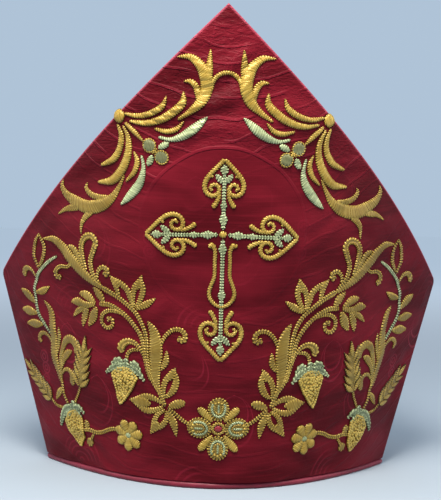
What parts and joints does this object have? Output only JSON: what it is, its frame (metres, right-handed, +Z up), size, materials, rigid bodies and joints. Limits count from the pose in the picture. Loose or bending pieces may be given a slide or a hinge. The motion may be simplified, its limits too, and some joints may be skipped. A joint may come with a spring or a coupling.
{
  "type": "bishop mitre",
  "caption": "Open bishop's mitre of two stiff damask panels with leaning peaks, a cloth gusset that closes the crown and a bound rim, embroidered in gold on the front.",
  "frame": {"origin": "middle of the rim, on the surface that the mitre stands on", "axes": "+Z up; the wearer faces -Y, so the embroidered front panel looks towards -Y; +X from shoulder to shoulder"},
  "size_m": [0.3004, 0.2816, 0.293],
  "materials": {
    "damask": "dark red silk damask, tone on tone, satin sheen",
    "gusset_cloth": "plain dark red satin",
    "binding_cloth": "dark red satin bias binding",
    "gold_thread": "lustrous gold embroidery thread, satin stitch",
    "mint_thread": "pale silver-green embroidery thread, satin stitch"
  },
  "bodies": {
    "root": {"front_panel": "damask", "back_panel": "damask", "crown_gusset": "gusset_cloth", "rim_binding": "binding_cloth"}
  },
  "joints": []
}
